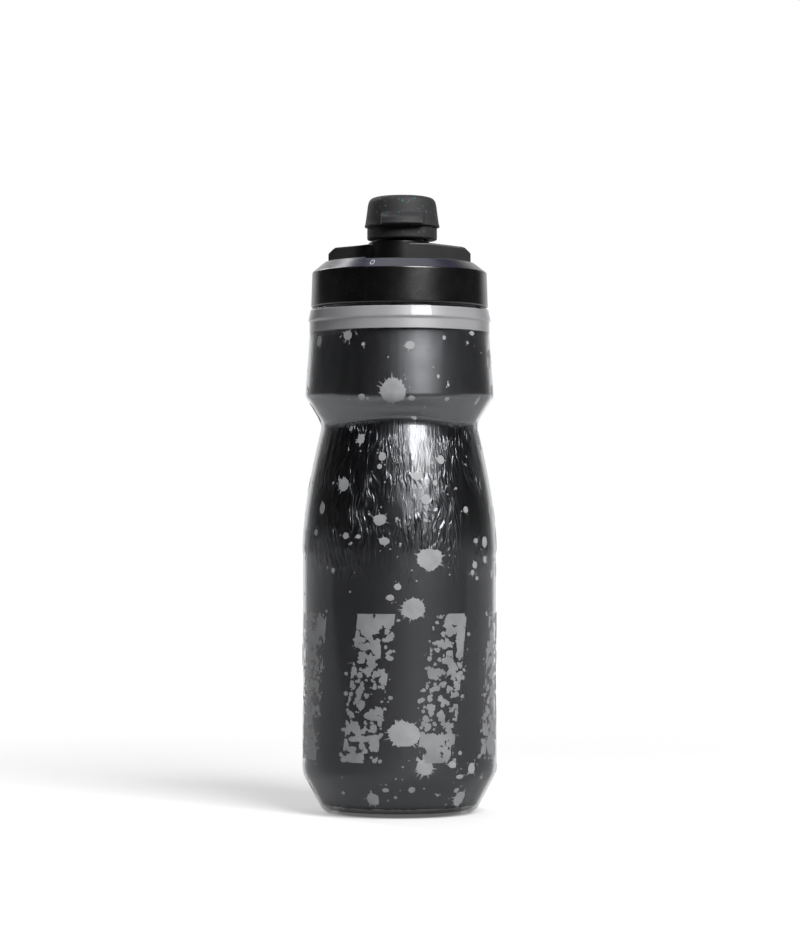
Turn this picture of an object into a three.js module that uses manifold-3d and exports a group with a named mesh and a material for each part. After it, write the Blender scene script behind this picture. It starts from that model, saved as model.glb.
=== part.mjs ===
// An insulated squeeze bottle for a bicycle: a clear outer wall over a reflective film, foam and an
// inner bottle, under a screw lid whose nozzle turns to lock and wears a hinged cap against mud.
// Millimetres, +Z up. The origin is the centre of the ring that the bottle stands on, and the
// thumb tab of the cap faces -Y.
import * as THREE from "three";
import { mergeVertices } from "three/addons/utils/BufferGeometryUtils.js";
import Module from "manifold-3d";

const wasm = await Module();
wasm.setup();

// ---- Driving dimensions ----
const BODY_R = 37; // fits the 73 to 74 mm bore of a bicycle's bottle cage
const HEEL = { r: 29.9, z: 2.1 }; // lower end of the heel's cone
const HEEL_TOP_Z = 15.4; // where the heel's cone meets the straight body
const BODY_TOP_Z = 100; // where the body starts to draw in towards the grip
const GRIP_LOW = { r: 30.05, z: 145.2 };
const GRIP_PEAK = { r: 29.4, z: 147.7 }; // where the two slopes of the grip would meet
const GRIP_HIGH = { r: 30.7, z: 149.8 };
const SHOULDER = { r: 35.9, z: 158.3 };
const BAND_TOP = { r: 34.4, z: 182.7 };
const SHELL_TOP_Z = 191.4;

const GRIP_Z = 147.6; // seam between the upper and the lower insulation
const ARCH_HALF_ANGLE = (50 * Math.PI) / 180; // the grip's arch at the front and at the back
const ARCH_RISE = 1.1; // how far the grip's edge rises in the middle of the arch
const ARCH_DROP = 1.8; // how far the shoulder's edge drops there

const GAP = 0.3; // between pieces that touch
const SHELL_WALL = 1.1;
const FILM_WALL = 0.5;
const FOAM_WALL = 1.0;
const LINER_WALL = 1.0;
const FILM_IN = SHELL_WALL + GAP; // how far inside the outer surface each layer starts
const FOAM_IN = FILM_IN + FILM_WALL + GAP;
const LINER_IN = FOAM_IN + FOAM_WALL + GAP;

const NECK_R = 29.6;
const MOUTH_R = 27.8;
const NECK_TOP_Z = 202.6;
const THREAD_PITCH = 4;
const THREAD_TURNS = 1.25;
const THREAD_START_Z = 194.2;

const LID_BOTTOM_Z = 192.1;
const LID_R = 33.7; // at the foot of the skirt
const LID_SHOULDER = { r: 33.3, z: 205.3 };
const LID_BORE_R = 31.3;
const RIM = { r: 28.5, z: 209.0 };
const HIGH_RIM = { r: 28.3, z: 209.4 };
const HIGH_RIM_FROM = (-172 * Math.PI) / 180; // the high rim's front sector, and half a turn on
const HIGH_RIM_TO = (-117 * Math.PI) / 180;
const RECESS_R = 27.8;
const DECK_TOP_Z = 207.5;
const DECK_BOTTOM_Z = 205.0;

const DIAL_BOTTOM_Z = DECK_TOP_Z + 0.4;
const DIAL_TOP_Z = 217.1;
const DIAL_R = 11.8;
const WING_REACH = 27.1;
const WING_FRONT_Y = -3.85; // at the tip
const WING_BACK_Y = 2;
const WING_FILLET_R = 8;
const DIAL_TRAVEL = (110 * Math.PI) / 180; // from locked to open
const SPIGOT_R = 8;
const SPIGOT_BOTTOM_Z = 195.6;
const FLOW_R = 5;
const COLLAR_SEAT_R = 9.4;
const STEM_R = 7.2;
const STEM_TOP_Z = 227.4;

const CAP_OFFSET_X = 0.7; // the soft cap sits a little to one side of the nozzle
const CAP_RIM_Z = 223.0;
const CAP_R = 14.3;
const CAP_TOP_Z = 235.2;
const HINGE_Y = 17.4; // axis of the cap's strap, at the height of the cap's rim
const LUG_HALF_WIDTH = 4.5;

const BIG_SIDES = 32; // facets round the bottle and the lid
const SMALL_SIDES = 24; // facets round the nozzle's pieces

// ---- Shapes ----
const point = ([r, z]) => new THREE.Vector2(r, z);

/** A solid of revolution about Z from [radius, height] pairs, on the axis at both ends or closed. */
function turned(pairs, sides = SMALL_SIDES) {
  const closed = pairs[0][0] > 0 ? [...pairs, pairs[0]] : pairs;
  return new THREE.LatheGeometry(closed.map(point), sides).rotateX(Math.PI / 2);
}

/** A shape in the XY plane raised from z0 to z1. */
function raised(shape, z0, z1, curveSegments = 8) {
  const settings = { depth: z1 - z0, bevelEnabled: false, curveSegments };
  return new THREE.ExtrudeGeometry(shape, settings).translate(0, 0, z0);
}

/** A box between two corners. */
function block([x0, y0, z0], [x1, y1, z1]) {
  const box = new THREE.BoxGeometry(x1 - x0, y1 - y0, z1 - z0);
  return box.translate((x0 + x1) / 2, (y0 + y1) / 2, (z0 + z1) / 2);
}

/** The closed geometry as a solid for cutting and joining. */
function solid(geometry) {
  const bare = geometry.clone();
  bare.deleteAttribute("normal");
  bare.deleteAttribute("uv");
  const merged = mergeVertices(bare, 1e-4);
  const mesh = new wasm.Mesh({
    numProp: 3,
    vertProperties: new Float32Array(merged.attributes.position.array),
    triVerts: new Uint32Array(merged.index.array),
  });
  return new wasm.Manifold(mesh);
}

/** The solid back as a geometry. */
function geometryOf(manifold) {
  const mesh = manifold.getMesh();
  const geometry = new THREE.BufferGeometry();
  geometry.setAttribute("position", new THREE.BufferAttribute(mesh.vertProperties, 3));
  geometry.setIndex(new THREE.BufferAttribute(mesh.triVerts, 1));
  return geometry;
}

/** Joins the first geometry with the rest of the list. */
const joined = (...parts) => parts.map(solid).reduce((all, next) => all.add(next));

/** The bottle's outer surface from heel to band as [radius, height] pairs. */
function wallOutline() {
  const vector = ({ r, z }) => new THREE.Vector2(r, z);
  const draw = new THREE.CubicBezierCurve(
    new THREE.Vector2(BODY_R, BODY_TOP_Z),
    new THREE.Vector2(BODY_R, BODY_TOP_Z + 13),
    new THREE.Vector2(GRIP_LOW.r + 3.35, GRIP_LOW.z - 13),
    vector(GRIP_LOW),
  );
  const grip = new THREE.QuadraticBezierCurve(
    vector(GRIP_LOW),
    vector(GRIP_PEAK),
    vector(GRIP_HIGH),
  );
  return [
    [HEEL.r, HEEL.z],
    [BODY_R, HEEL_TOP_Z],
    ...draw.getPoints(4).map((p) => [p.x, p.y]),
    ...grip.getPoints(2).slice(1).map((p) => [p.x, p.y]),
    [SHOULDER.r, SHOULDER.z],
    [BAND_TOP.r, BAND_TOP.z],
  ];
}

const WALL = wallOutline();

/** Radius of the bottle's outer surface at a height. */
function wallRadius(z) {
  const above = Math.max(1, WALL.findIndex((p) => p[1] >= z));
  const [r0, z0] = WALL[above - 1];
  const [r1, z1] = WALL[above];
  return r0 + ((r1 - r0) * (z - z0)) / (z1 - z0);
}

/** The outline moved inwards by an offset and kept between two heights, from the bottom up. */
function wallAt(offset, low, high) {
  const between = WALL.filter(([, z]) => z > low + 0.05 && z < high - 0.05);
  const pairs = [[wallRadius(low), low], ...between, [wallRadius(high), high]];
  return pairs.map(([r, z]) => [r - offset, z]);
}

/** A tube that follows the outline, from one offset to a deeper one. */
function layer(outer, inner, low, high) {
  return turned([...wallAt(outer, low, high), ...wallAt(inner, low, high).reverse()], BIG_SIDES);
}

/** 1 at the middle, falling to 0 at the low and high ends. */
function hat(z, low, middle, high) {
  const share = z < middle ? (z - low) / (middle - low) : (high - z) / (high - middle);
  return Math.max(0, share);
}

/** Arches the grip at the front and at the back: its edge rises and the shoulder's edge drops. */
function arched(geometry) {
  const place = geometry.attributes.position;
  for (let i = 0; i < place.count; i++) {
    const [x, y, z] = [place.getX(i), place.getY(i), place.getZ(i)];
    const angle = Math.atan2(Math.abs(x), Math.abs(y));
    if (angle > ARCH_HALF_ANGLE) continue;
    const share = Math.cos((Math.PI / 2) * (angle / ARCH_HALF_ANGLE)) ** 2;
    const rise = ARCH_RISE * hat(z, 134, GRIP_Z, 153);
    const drop = ARCH_DROP * hat(z, 153, SHOULDER.z, 172);
    place.setZ(i, z + share * (rise - drop));
  }
  return geometry;
}

/** A screw thread's ridge: a bar bent round Z as a helix, its depth fading at both ends. */
function threadRidge({ rootR, crestR, rootWidth, crestWidth, startAngle, startZ }) {
  const ridge = new THREE.BoxGeometry(1, 1, 1, 1, 1, 24);
  const place = ridge.attributes.position;
  for (let i = 0; i < place.count; i++) {
    const along = place.getZ(i) + 0.5;
    const up = place.getX(i) + 0.5; // 0 at the root, 1 at the crest
    const fade = Math.min(1, (along + 0.01) * 10, (1.01 - along) * 10);
    const turn = 2 * Math.PI * THREAD_TURNS * along;
    const r = rootR + (crestR - rootR) * up * fade;
    const width = (rootWidth + (crestWidth - rootWidth) * up) * Math.sign(rootR - crestR);
    const z = startZ + (THREAD_PITCH * turn) / (2 * Math.PI) + width * place.getY(i);
    const angle = startAngle + turn;
    place.setXYZ(i, r * Math.cos(angle), r * Math.sin(angle), z);
  }
  return ridge;
}

// ---- The bottle ----
function outerShell() {
  const heelSlope = wallAt(SHELL_WALL, HEEL.z + 1.2, BAND_TOP.z);
  return arched(
    turned(
      [
        [0, 2.6],
        [19, 2.2],
        [22.8, 0],
        [27.4, 0],
        [28.9, 0.6],
        ...wallAt(0, HEEL.z, BAND_TOP.z),
        [BAND_TOP.r, 186.6],
        [BAND_TOP.r + 0.45, 187.0],
        [34.3, 191.0],
        [33.9, SHELL_TOP_Z],
        [33.2, SHELL_TOP_Z],
        ...heelSlope.reverse(),
        [27.0, 1.5],
        [23.2, 1.5],
        [19.4, 3.6],
        [0, 4.0],
      ],
      BIG_SIDES,
    ),
  );
}

function innerBottle() {
  const wall = turned(
    [
      [0, 5.9],
      [25.8, 5.9],
      ...wallAt(LINER_IN, 7.2, BAND_TOP.z),
      [30.9, 187.8],
      [NECK_R, 189.1],
      [NECK_R, NECK_TOP_Z],
      [MOUTH_R, NECK_TOP_Z],
      [MOUTH_R, 188.4],
      [29.9, 186.4],
      ...wallAt(LINER_IN + LINER_WALL, 8.4, BAND_TOP.z).reverse(),
      [25.5, 6.9],
      [0, 6.9],
    ],
    BIG_SIDES,
  );
  const thread = threadRidge({
    rootR: NECK_R - 0.15,
    crestR: NECK_R + 1.2,
    rootWidth: 2.2,
    crestWidth: 1.0,
    startAngle: 0,
    startZ: THREAD_START_Z,
  });
  return geometryOf(joined(arched(wall), thread));
}

function neckRing() {
  return turned(
    [
      [31.7, 183.3],
      [32.9, 183.3],
      [32.9, 191.1],
      [29.95, 191.1],
      [29.95, 189.4],
      [31.7, 189.4],
    ],
    BIG_SIDES,
  );
}

const insulationCollar = () =>
  arched(layer(FILM_IN, LINER_IN - GAP, GRIP_Z + 0.3, BAND_TOP.z));

const reflectiveFilm = () => arched(layer(FILM_IN, FILM_IN + FILM_WALL, 3.6, GRIP_Z - 0.1));

const foamSleeve = () => arched(layer(FOAM_IN, FOAM_IN + FOAM_WALL, 4.4, GRIP_Z - 0.1));

const basePad = () =>
  turned([
    [0, 4.3],
    [18.6, 4.3],
    [18.6, 5.6],
    [0, 5.6],
  ]);

// ---- The lid ----
/** The part of a ring between two angles, from one radius to another. */
function sector(innerR, outerR, from, to) {
  const shape = new THREE.Shape();
  shape.absarc(0, 0, outerR, from, to, false);
  shape.absarc(0, 0, innerR, to, from, true);
  return shape;
}

function lidCap() {
  const shell = turned(
    [
      [SPIGOT_R + 0.3, DECK_BOTTOM_Z],
      [11.1, DECK_BOTTOM_Z],
      [11.1, 202.6],
      [12.3, 202.6],
      [12.3, DECK_BOTTOM_Z],
      [26.0, DECK_BOTTOM_Z],
      [26.0, 201.5],
      [26.4, 201.0],
      [27.2, 201.5],
      [27.2, DECK_BOTTOM_Z],
      [LID_BORE_R, DECK_BOTTOM_Z],
      [LID_BORE_R, LID_BOTTOM_Z],
      [LID_R - 0.5, LID_BOTTOM_Z],
      [LID_R, LID_BOTTOM_Z + 0.5],
      [LID_SHOULDER.r, LID_SHOULDER.z - 0.3],
      [LID_SHOULDER.r - 0.3, LID_SHOULDER.z + 0.1],
      [RIM.r, RIM.z],
      [RECESS_R, RIM.z],
      [RECESS_R, DECK_TOP_Z],
      [SPIGOT_R + 0.3, DECK_TOP_Z],
    ],
    BIG_SIDES,
  );
  const thread = threadRidge({
    rootR: LID_BORE_R + 0.15,
    crestR: LID_BORE_R - 1.25,
    rootWidth: 2.0,
    crestWidth: 0.8,
    startAngle: -Math.PI / 2,
    startZ: THREAD_START_Z + THREAD_PITCH / 4,
  });
  const highRim = (turn) => {
    const from = HIGH_RIM_FROM + turn;
    const to = HIGH_RIM_TO + turn;
    return raised(sector(RECESS_R, HIGH_RIM.r, from, to), RIM.z - 0.5, HIGH_RIM.z, 6);
  };
  const stop = (angle) => {
    const peg = new THREE.CylinderGeometry(0.9, 0.9, 2, 10).rotateX(Math.PI / 2);
    return peg.translate(25 * Math.cos(angle), 25 * Math.sin(angle), DECK_TOP_Z + 0.5);
  };
  const lockedStop = Math.atan2(3.5, 25); // just behind a wing at rest
  const openStop = -DIAL_TRAVEL - (14.5 * Math.PI) / 180; // just ahead of it when open
  return geometryOf(
    joined(shell, thread, highRim(0), highRim(Math.PI), stop(lockedStop), stop(openStop)),
  );
}

const lidSeal = () =>
  turned(
    [
      [27.5, 202.9],
      [30.9, 202.9],
      [30.9, 204.7],
      [27.5, 204.7],
    ],
    BIG_SIDES,
  );

/** A cutter through both sides of a tube, along Y before it is turned about Z. */
function windows(halfWidth, z0, z1, angle) {
  return solid(block([-halfWidth, -15, z0], [halfWidth, 15, z1]).rotateZ(angle));
}

function valveHousing() {
  const cup = turned([
    [0, 194.0],
    [10.8, 194.0],
    [10.8, 204.7],
    [9.4, 204.7],
    [9.4, 195.2],
    [0, 195.2],
  ]);
  return geometryOf(solid(cup).subtract(windows(3.7, 197.0, 201.4, 0)));
}

function portSeal() {
  const sleeve = turned([
    [SPIGOT_R + 0.3, 196.0],
    [9.1, 196.0],
    [9.1, 202.4],
    [SPIGOT_R + 0.3, 202.4],
  ]);
  return geometryOf(solid(sleeve).subtract(windows(3.5, 197.2, 201.2, 0)));
}

// ---- The dial and the nozzle on it ----
/** The dial from above: a round column with a wing on each side, each tangent to the column. */
function dialPlan() {
  const shape = new THREE.Shape();
  const tangent = Math.asin(0.3) - Math.PI / 2; // where a wing's long face leaves the column
  const filletY = WING_BACK_Y + WING_FILLET_R;
  const filletX = Math.sqrt((DIAL_R + WING_FILLET_R) ** 2 - filletY ** 2);
  const filletAngle = Math.atan2(filletY, filletX);
  for (const side of [1, -1]) {
    const half = side > 0 ? 0 : Math.PI;
    shape.absarc(0, 0, DIAL_R, tangent + half, tangent + half, false);
    shape.lineTo(side * WING_REACH, side * WING_FRONT_Y);
    shape.lineTo(side * WING_REACH, side * WING_BACK_Y);
    const from = -Math.PI / 2 + half;
    const to = filletAngle - Math.PI + half;
    shape.absarc(side * filletX, side * filletY, WING_FILLET_R, from, to, true);
    shape.absarc(0, 0, DIAL_R, filletAngle + half, tangent + Math.PI + half, false);
  }
  return shape;
}

/** The wings from the front, as a prism along Y: low at the tips, with the corners cut off. */
function wingProfile() {
  const [foot, corner, tip, root] = [DIAL_BOTTOM_Z, 212.9, 215.1, 216.3];
  const outline = [
    [-WING_REACH - 1, foot],
    [WING_REACH + 1, foot],
    [WING_REACH + 1, corner - 1],
    [WING_REACH - 2.2, tip],
    [DIAL_R, root],
    [-DIAL_R, root],
    [-WING_REACH + 2.2, tip],
    [-WING_REACH - 1, corner - 1],
  ];
  const prism = new THREE.ExtrudeGeometry(new THREE.Shape(outline.map(point)), {
    depth: 40,
    bevelEnabled: false,
  });
  return prism.rotateX(Math.PI / 2).translate(0, 20, 0);
}

function lockDial() {
  const plan = raised(dialPlan(), DIAL_BOTTOM_Z, DIAL_TOP_Z, 6);
  const wings = solid(plan).intersect(solid(wingProfile()));
  const column = turned([
    [FLOW_R, SPIGOT_BOTTOM_Z],
    [SPIGOT_R, SPIGOT_BOTTOM_Z],
    [SPIGOT_R, 202.8],
    [7.0, 202.8],
    [7.0, 204.2],
    [SPIGOT_R, 204.2],
    [SPIGOT_R, 205.4],
    [6.6, 205.4],
    [6.6, 207.0],
    [SPIGOT_R, 207.0],
    [SPIGOT_R, DIAL_BOTTOM_Z],
    [DIAL_R, DIAL_BOTTOM_Z],
    [DIAL_R, DIAL_TOP_Z - 0.3],
    [DIAL_R - 0.3, DIAL_TOP_Z],
    [COLLAR_SEAT_R, DIAL_TOP_Z],
    [COLLAR_SEAT_R, 222.4],
    [STEM_R, 222.4],
    [STEM_R, STEM_TOP_Z],
    [FLOW_R, STEM_TOP_Z],
  ]);
  const bore = new THREE.CylinderGeometry(FLOW_R, FLOW_R, 40, SMALL_SIDES).rotateX(Math.PI / 2);
  const cut = solid(bore.translate(0, 0, 212));
  const ports = windows(3.5, 197.2, 201.2, DIAL_TRAVEL);
  return geometryOf(wings.add(solid(column)).subtract(cut).subtract(ports));
}

const dialORing = () => {
  const ring = new THREE.TorusGeometry(7.45, 0.6, 6, SMALL_SIDES);
  return ring.translate(0, 0, 206.2);
};

const dialClip = () => raised(sector(7.25, 9.0, -Math.PI * 0.4, Math.PI * 1.4), 203.2, 203.8, 10);

const nozzleSleeve = () =>
  turned([
    [7.5, 222.8],
    [9.2, 222.8],
    [9.0, 224.0],
    [8.5, 226.0],
    [8.8, 228.5],
    [9.0, 229.9],
    [8.6, 231.0],
    [7.6, 231.6],
    [5.9, 231.6],
    [5.7, 231.3],
    [5.7, 230.1],
    [7.5, 230.1],
  ]);

const valveRetainer = () =>
  turned([
    [5.2, 227.7],
    [7.1, 227.7],
    [7.1, 228.5],
    [5.2, 228.5],
  ]);

/** A soft dome on a flange, slit crosswise so that it opens only under pressure. */
function jetValve() {
  const dome = turned([
    [4.5, 228.8],
    [7.1, 228.8],
    [7.1, 229.8],
    [5.4, 229.8],
    [5.4, 230.9],
    [4.4, 231.7],
    [0, 232.0],
    [0, 231.2],
    [4.0, 230.9],
    [4.5, 230.5],
  ]);
  const slit = (x, y) => solid(block([-x, -y, 230.6], [x, y, 233]));
  return geometryOf(solid(dome).subtract(slit(2.6, 0.15)).subtract(slit(0.15, 2.6)));
}

// ---- The cap against mud ----
function mudCapCollar() {
  const ring = turned([
    [10.4, 217.8],
    [12.76, 217.8],
    [13.26, 218.3],
    [13.26, 222.6],
    [12.4, 222.6],
    [12.4, 224.3],
    [12.1, 224.6],
    [10.4, 224.6],
  ]);
  const lug = block([-LUG_HALF_WIDTH, 11.5, 218.6], [LUG_HALF_WIDTH, HINGE_Y - 0.8, 221.6]);
  return geometryOf(joined(ring, lug)).translate(CAP_OFFSET_X, 0, 0);
}

/** The strap that joins the cap to its collar behind the nozzle. */
const mudCapStrap = () =>
  block(
    [CAP_OFFSET_X - LUG_HALF_WIDTH, HINGE_Y - 0.5, 218.6],
    [CAP_OFFSET_X + LUG_HALF_WIDTH, HINGE_Y + 0.5, 227.4],
  );

function mudCap() {
  const shell = turned([
    [12.8, CAP_RIM_Z],
    [CAP_R, CAP_RIM_Z],
    [CAP_R, CAP_RIM_Z + 0.4],
    [13.8, 226.8],
    [13.1, 231.4],
    [12.7, 232.7],
    [11.9, 233.8],
    [10.2, 234.7],
    [5, 235.1],
    [0, CAP_TOP_Z],
    [0, 233.2],
    [10.3, 233.2],
    [10.3, 231.0],
    [11.1, 231.0],
    [11.1, 232.6],
    [11.6, 231.4],
  ]);
  const tabPlan = new THREE.Shape();
  tabPlan.moveTo(-8.3, -11);
  tabPlan.lineTo(-8.3, -15.2);
  tabPlan.quadraticCurveTo(-8.2, -16.4, -7.0, -16.6);
  tabPlan.lineTo(7.0, -16.6);
  tabPlan.quadraticCurveTo(8.2, -16.4, 8.3, -15.2);
  tabPlan.lineTo(8.3, -11);
  const slope = new THREE.Shape([
    new THREE.Vector2(-17, CAP_RIM_Z),
    new THREE.Vector2(-10, CAP_RIM_Z),
    new THREE.Vector2(-10, 227.4),
    new THREE.Vector2(-13.6, 227.2),
    new THREE.Vector2(-17, 224.6),
  ]);
  const wedge = new THREE.ExtrudeGeometry(slope, { depth: 20, bevelEnabled: false });
  wedge.rotateX(Math.PI / 2).rotateZ(Math.PI / 2).translate(-10, 0, 0);
  const tab = solid(raised(tabPlan, CAP_RIM_Z, 228, 4)).intersect(solid(wedge));
  const inside = turned([
    [0, 220],
    [12.8, 220],
    [12.8, CAP_RIM_Z],
    [11.6, 231.4],
    [0, 231.4],
  ]);
  const lug = block([-LUG_HALF_WIDTH, 11, 224.4], [LUG_HALF_WIDTH, HINGE_Y - 0.8, 227.4]);
  const added = tab.add(solid(lug)).subtract(solid(inside));
  return geometryOf(solid(shell).add(added)).translate(CAP_OFFSET_X, 0, 0);
}

// ---- Assembly ----
const clear = { color: 0xd4d6d8, roughness: 0.12, metalness: 0, transparent: true, opacity: 0.35 };
const smoke = { color: 0x17181a, roughness: 0.35, metalness: 0 };
const foil = { color: 0x26282b, roughness: 0.3, metalness: 0.6 };
const foam = { color: 0xc9cacb, roughness: 0.9, metalness: 0 };
const milky = { color: 0xb4b5b8, roughness: 0.45, metalness: 0 };
const gloss = { color: 0x08090a, roughness: 0.16, metalness: 0 };
const satin = { color: 0x1b1c1c, roughness: 0.35, metalness: 0 };
const speckled = { color: 0x2a2a2c, roughness: 0.6, metalness: 0 };
const silicone = { color: 0x9a9ea2, roughness: 0.5, metalness: 0 };
const spring = { color: 0xb8b9bb, roughness: 0.3, metalness: 1 };

const bottle = new THREE.Group();
function add(name, geometry, finish) {
  const mesh = new THREE.Mesh(geometry, new THREE.MeshStandardMaterial(finish));
  mesh.name = name;
  bottle.add(mesh);
}

add("outer_shell", outerShell(), clear);
add("inner_bottle", innerBottle(), milky);
add("neck_ring", neckRing(), milky);
add("insulation_collar", insulationCollar(), smoke);
add("reflective_film", reflectiveFilm(), foil);
add("foam_sleeve", foamSleeve(), foam);
add("base_pad", basePad(), foam);
add("lid_cap", lidCap(), gloss);
add("lid_seal", lidSeal(), silicone);
add("valve_housing", valveHousing(), satin);
add("port_seal", portSeal(), silicone);
add("lock_dial", lockDial(), satin);
add("dial_o_ring", dialORing(), silicone);
add("dial_clip", dialClip(), spring);
add("nozzle_sleeve", nozzleSleeve(), silicone);
add("valve_retainer", valveRetainer(), satin);
add("jet_valve", jetValve(), silicone);
add("mud_cap_collar", mudCapCollar(), speckled);
add("mud_cap_strap", mudCapStrap(), speckled);
add("mud_cap", mudCap(), speckled);

export default bottle;
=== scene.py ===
"""Looks of an insulated squeeze bottle for a bicycle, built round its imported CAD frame.

Everything is in the row frame: +Z up along the bottle's axis, the front towards -Y. Shapes are
worked out in millimetres and go into the meshes in metres. Angles round the bottle start at the
front, 0, and grow towards +X."""

import math

import bpy
import numpy as np
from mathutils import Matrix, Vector


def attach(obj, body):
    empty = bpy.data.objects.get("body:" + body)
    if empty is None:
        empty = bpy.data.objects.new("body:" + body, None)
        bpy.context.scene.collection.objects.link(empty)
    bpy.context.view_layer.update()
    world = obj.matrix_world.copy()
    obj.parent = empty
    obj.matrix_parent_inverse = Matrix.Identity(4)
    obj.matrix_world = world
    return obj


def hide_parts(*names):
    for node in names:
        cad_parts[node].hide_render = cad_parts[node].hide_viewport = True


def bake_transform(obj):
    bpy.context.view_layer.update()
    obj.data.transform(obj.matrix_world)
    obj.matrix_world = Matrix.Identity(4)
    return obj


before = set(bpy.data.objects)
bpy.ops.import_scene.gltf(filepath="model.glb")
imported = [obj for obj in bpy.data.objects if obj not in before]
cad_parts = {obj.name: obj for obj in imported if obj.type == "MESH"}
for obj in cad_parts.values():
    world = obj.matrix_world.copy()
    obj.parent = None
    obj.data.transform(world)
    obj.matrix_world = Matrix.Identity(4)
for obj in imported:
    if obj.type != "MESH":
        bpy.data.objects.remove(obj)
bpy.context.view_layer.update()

MM = 0.001
TAU = 2 * math.pi

# ---- Sizes, in millimetres ----
SHELL_TOP = 191.4
BAND_TOP = 182.3
GRIP_Z = 147.6
SHOULDER_Z = 158.3
ARCH_HALF_ANGLE = math.radians(50)
ARCH_RISE = 1.1
ARCH_DROP = 1.5
WALL_THICKNESS = 1.1
FILM_INWARD = 1.6
THREAD_PITCH = 4.0
THREAD_TURNS = 1.25
CAP_X = 1.0  # the cap and its collar sit a little to one side of the nozzle
DIAL_R = 11.8


# ---- Small tools for meshes ----
def soft_corners(corners, closed=True, steps=5, support=0.12):
    """Rounds a polyline of (r, z, fillet) corners.

    Each corner C with fillet d becomes the curve (1-t)^2 A + 2t(1-t) C + t^2 B, where A and B lie d
    before and after C, with one more point a little further out on each side to hold the flats.
    """
    pts = np.array([c[:2] for c in corners], float)
    fillets = [c[2] if len(c) > 2 else 0.0 for c in corners]
    count, out = len(pts), []
    t = np.linspace(0, 1, steps)[:, None]
    for i in range(count):
        ends = not closed and i in (0, count - 1)
        if fillets[i] <= 0 or ends:
            out.append(pts[i][None])
            continue
        before, after = pts[i - 1] - pts[i], pts[(i + 1) % count] - pts[i]
        long_a, long_b = np.linalg.norm(before), np.linalg.norm(after)
        reach = min(fillets[i], 0.45 * long_a, 0.45 * long_b)
        a, b = pts[i] + before / long_a * reach, pts[i] + after / long_b * reach
        held_a = pts[i] + before / long_a * min(reach + support, 0.49 * long_a)
        held_b = pts[i] + after / long_b * min(reach + support, 0.49 * long_b)
        arc = (1 - t) ** 2 * a + 2 * t * (1 - t) * pts[i] + t**2 * b
        out.append(np.vstack([held_a, arc, held_b]))
    return np.vstack(out)


def resampled(line, step):
    """The polyline with points added so that none of its stretches is longer than step."""
    out = [line[:1]]
    for a, b in zip(line[:-1], line[1:]):
        parts = max(1, math.ceil(np.linalg.norm(b - a) / step))
        out.append(a + (b - a) * (np.arange(1, parts + 1) / parts)[:, None])
    return np.vstack(out)


def turned_about(profile, angles):
    """Carries an (r, z) profile round Z: x = r sin(angle), y = -r cos(angle), z = z."""
    r, z = profile[:, 0][None], profile[:, 1][None]
    a = np.asarray(angles)[:, None]
    x, y = r * np.sin(a), -r * np.cos(a)
    return np.stack([x, y, np.broadcast_to(z, x.shape)], axis=-1)


def around(count):
    """Equal angles all the way round, starting at the back."""
    return -math.pi + TAU * np.arange(count) / count


def skin_faces(rows, cols, wrap_rows, wrap_cols):
    """Quads of a grid of points: rows go round the object and columns go up its outside."""
    i = np.arange(rows if wrap_rows else rows - 1)
    j = np.arange(cols if wrap_cols else cols - 1)
    i, j = np.meshgrid(i, j, indexing="ij")
    i2, j2 = (i + 1) % rows, (j + 1) % cols
    quad = np.stack([i * cols + j, i2 * cols + j, i2 * cols + j2, i * cols + j2], -1)
    spots = np.stack([i, j, i + 1, j, i + 1, j + 1, i, j + 1], -1)
    return quad.reshape(-1, 4), spots.reshape(-1, 4, 2)


def piece(name, parts, material, body, replaces=(), sharp=35.0, wrap=None):
    """Makes one object from point grids, each (rows, cols, 3) in mm with how it wraps.

    Corners that meet in one point are merged, so poles and seams are closed. wrap is a function of
    (row, column) spots that gives the piece's own UV map.
    """
    verts, faces, spots = [], [], []
    offset = 0
    for points, wrap_rows, wrap_cols in parts:
        rows, cols = points.shape[:2]
        quad, spot = skin_faces(rows, cols, wrap_rows, wrap_cols)
        verts.append(points.reshape(-1, 3))
        faces.append(quad + offset)
        spots.append(spot)
        offset += rows * cols
    verts, faces, spots = np.vstack(verts) * MM, np.vstack(faces), np.vstack(spots)
    key = np.round(verts / 2e-7).astype(np.int64)
    _, first, which = np.unique(key, axis=0, return_index=True, return_inverse=True)
    return mesh_object(
        name, verts[first], which.reshape(-1)[faces], material, body, replaces, sharp,
        None if wrap is None else wrap(spots),
    )


def mesh_object(name, verts, quads, material, body, replaces=(), sharp=35.0, uv=None):
    """Puts quads into a mesh, dropping repeated corners, so that a quad at a pole is a triangle."""
    loops_ok = quads != np.roll(quads, 1, axis=1)
    counts = loops_ok.sum(1)
    keep = counts >= 3
    quads, loops_ok, counts = quads[keep], loops_ok[keep], counts[keep]
    mesh = bpy.data.meshes.new(name)
    mesh.vertices.add(len(verts))
    mesh.vertices.foreach_set("co", verts.astype(np.float32).ravel())
    corners = quads[loops_ok]
    mesh.loops.add(len(corners))
    mesh.loops.foreach_set("vertex_index", corners.astype(np.int32))
    mesh.polygons.add(len(counts))
    starts = np.concatenate([[0], np.cumsum(counts)[:-1]])
    mesh.polygons.foreach_set("loop_start", starts.astype(np.int32))
    mesh.polygons.foreach_set("loop_total", counts.astype(np.int32))
    mesh.update(calc_edges=True)
    mesh.validate()
    mesh.polygons.foreach_set("use_smooth", np.ones(len(mesh.polygons), bool))
    mesh.set_sharp_from_angle(angle=math.radians(sharp))
    if uv is not None and len(mesh.loops) == len(corners):
        layer = mesh.uv_layers.new(name="wrap")
        layer.data.foreach_set("uv", uv[keep][loops_ok].astype(np.float32).ravel())
    mesh.materials.append(material)
    obj = bpy.data.objects.new(name, mesh)
    bpy.context.scene.collection.objects.link(obj)
    if body:
        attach(obj, body)
    if replaces:
        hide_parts(*replaces)
    return obj


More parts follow.
